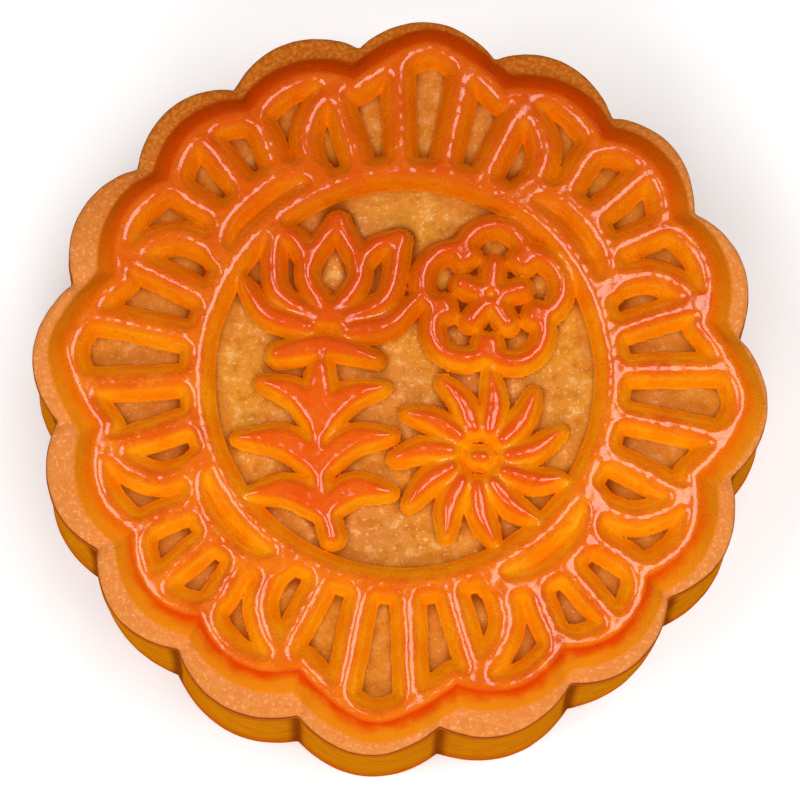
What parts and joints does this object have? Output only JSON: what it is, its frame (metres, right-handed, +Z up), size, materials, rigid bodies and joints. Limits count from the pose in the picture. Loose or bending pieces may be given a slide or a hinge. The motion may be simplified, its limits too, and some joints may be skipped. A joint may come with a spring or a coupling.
{
  "type": "moulded mooncake",
  "caption": "Round moulded mooncake with a scalloped rim, a ribbed border and a medallion of raised flowers and leaves pressed into its top.",
  "frame": {"origin": "middle of the flat base, under the middle of the outline", "axes": "+Z up through the patterned top; +X and +Y run through two of the larger rim lobes, +Y towards the top of the medallion"},
  "size_m": [0.0903, 0.0908, 0.033],
  "materials": {
    "baked_crust": "baked golden crust, egg-glazed and glossy on the raised pattern, matt and speckled in the recesses"
  },
  "bodies": {
    "root": {"mooncake": "baked_crust"}
  },
  "joints": []
}
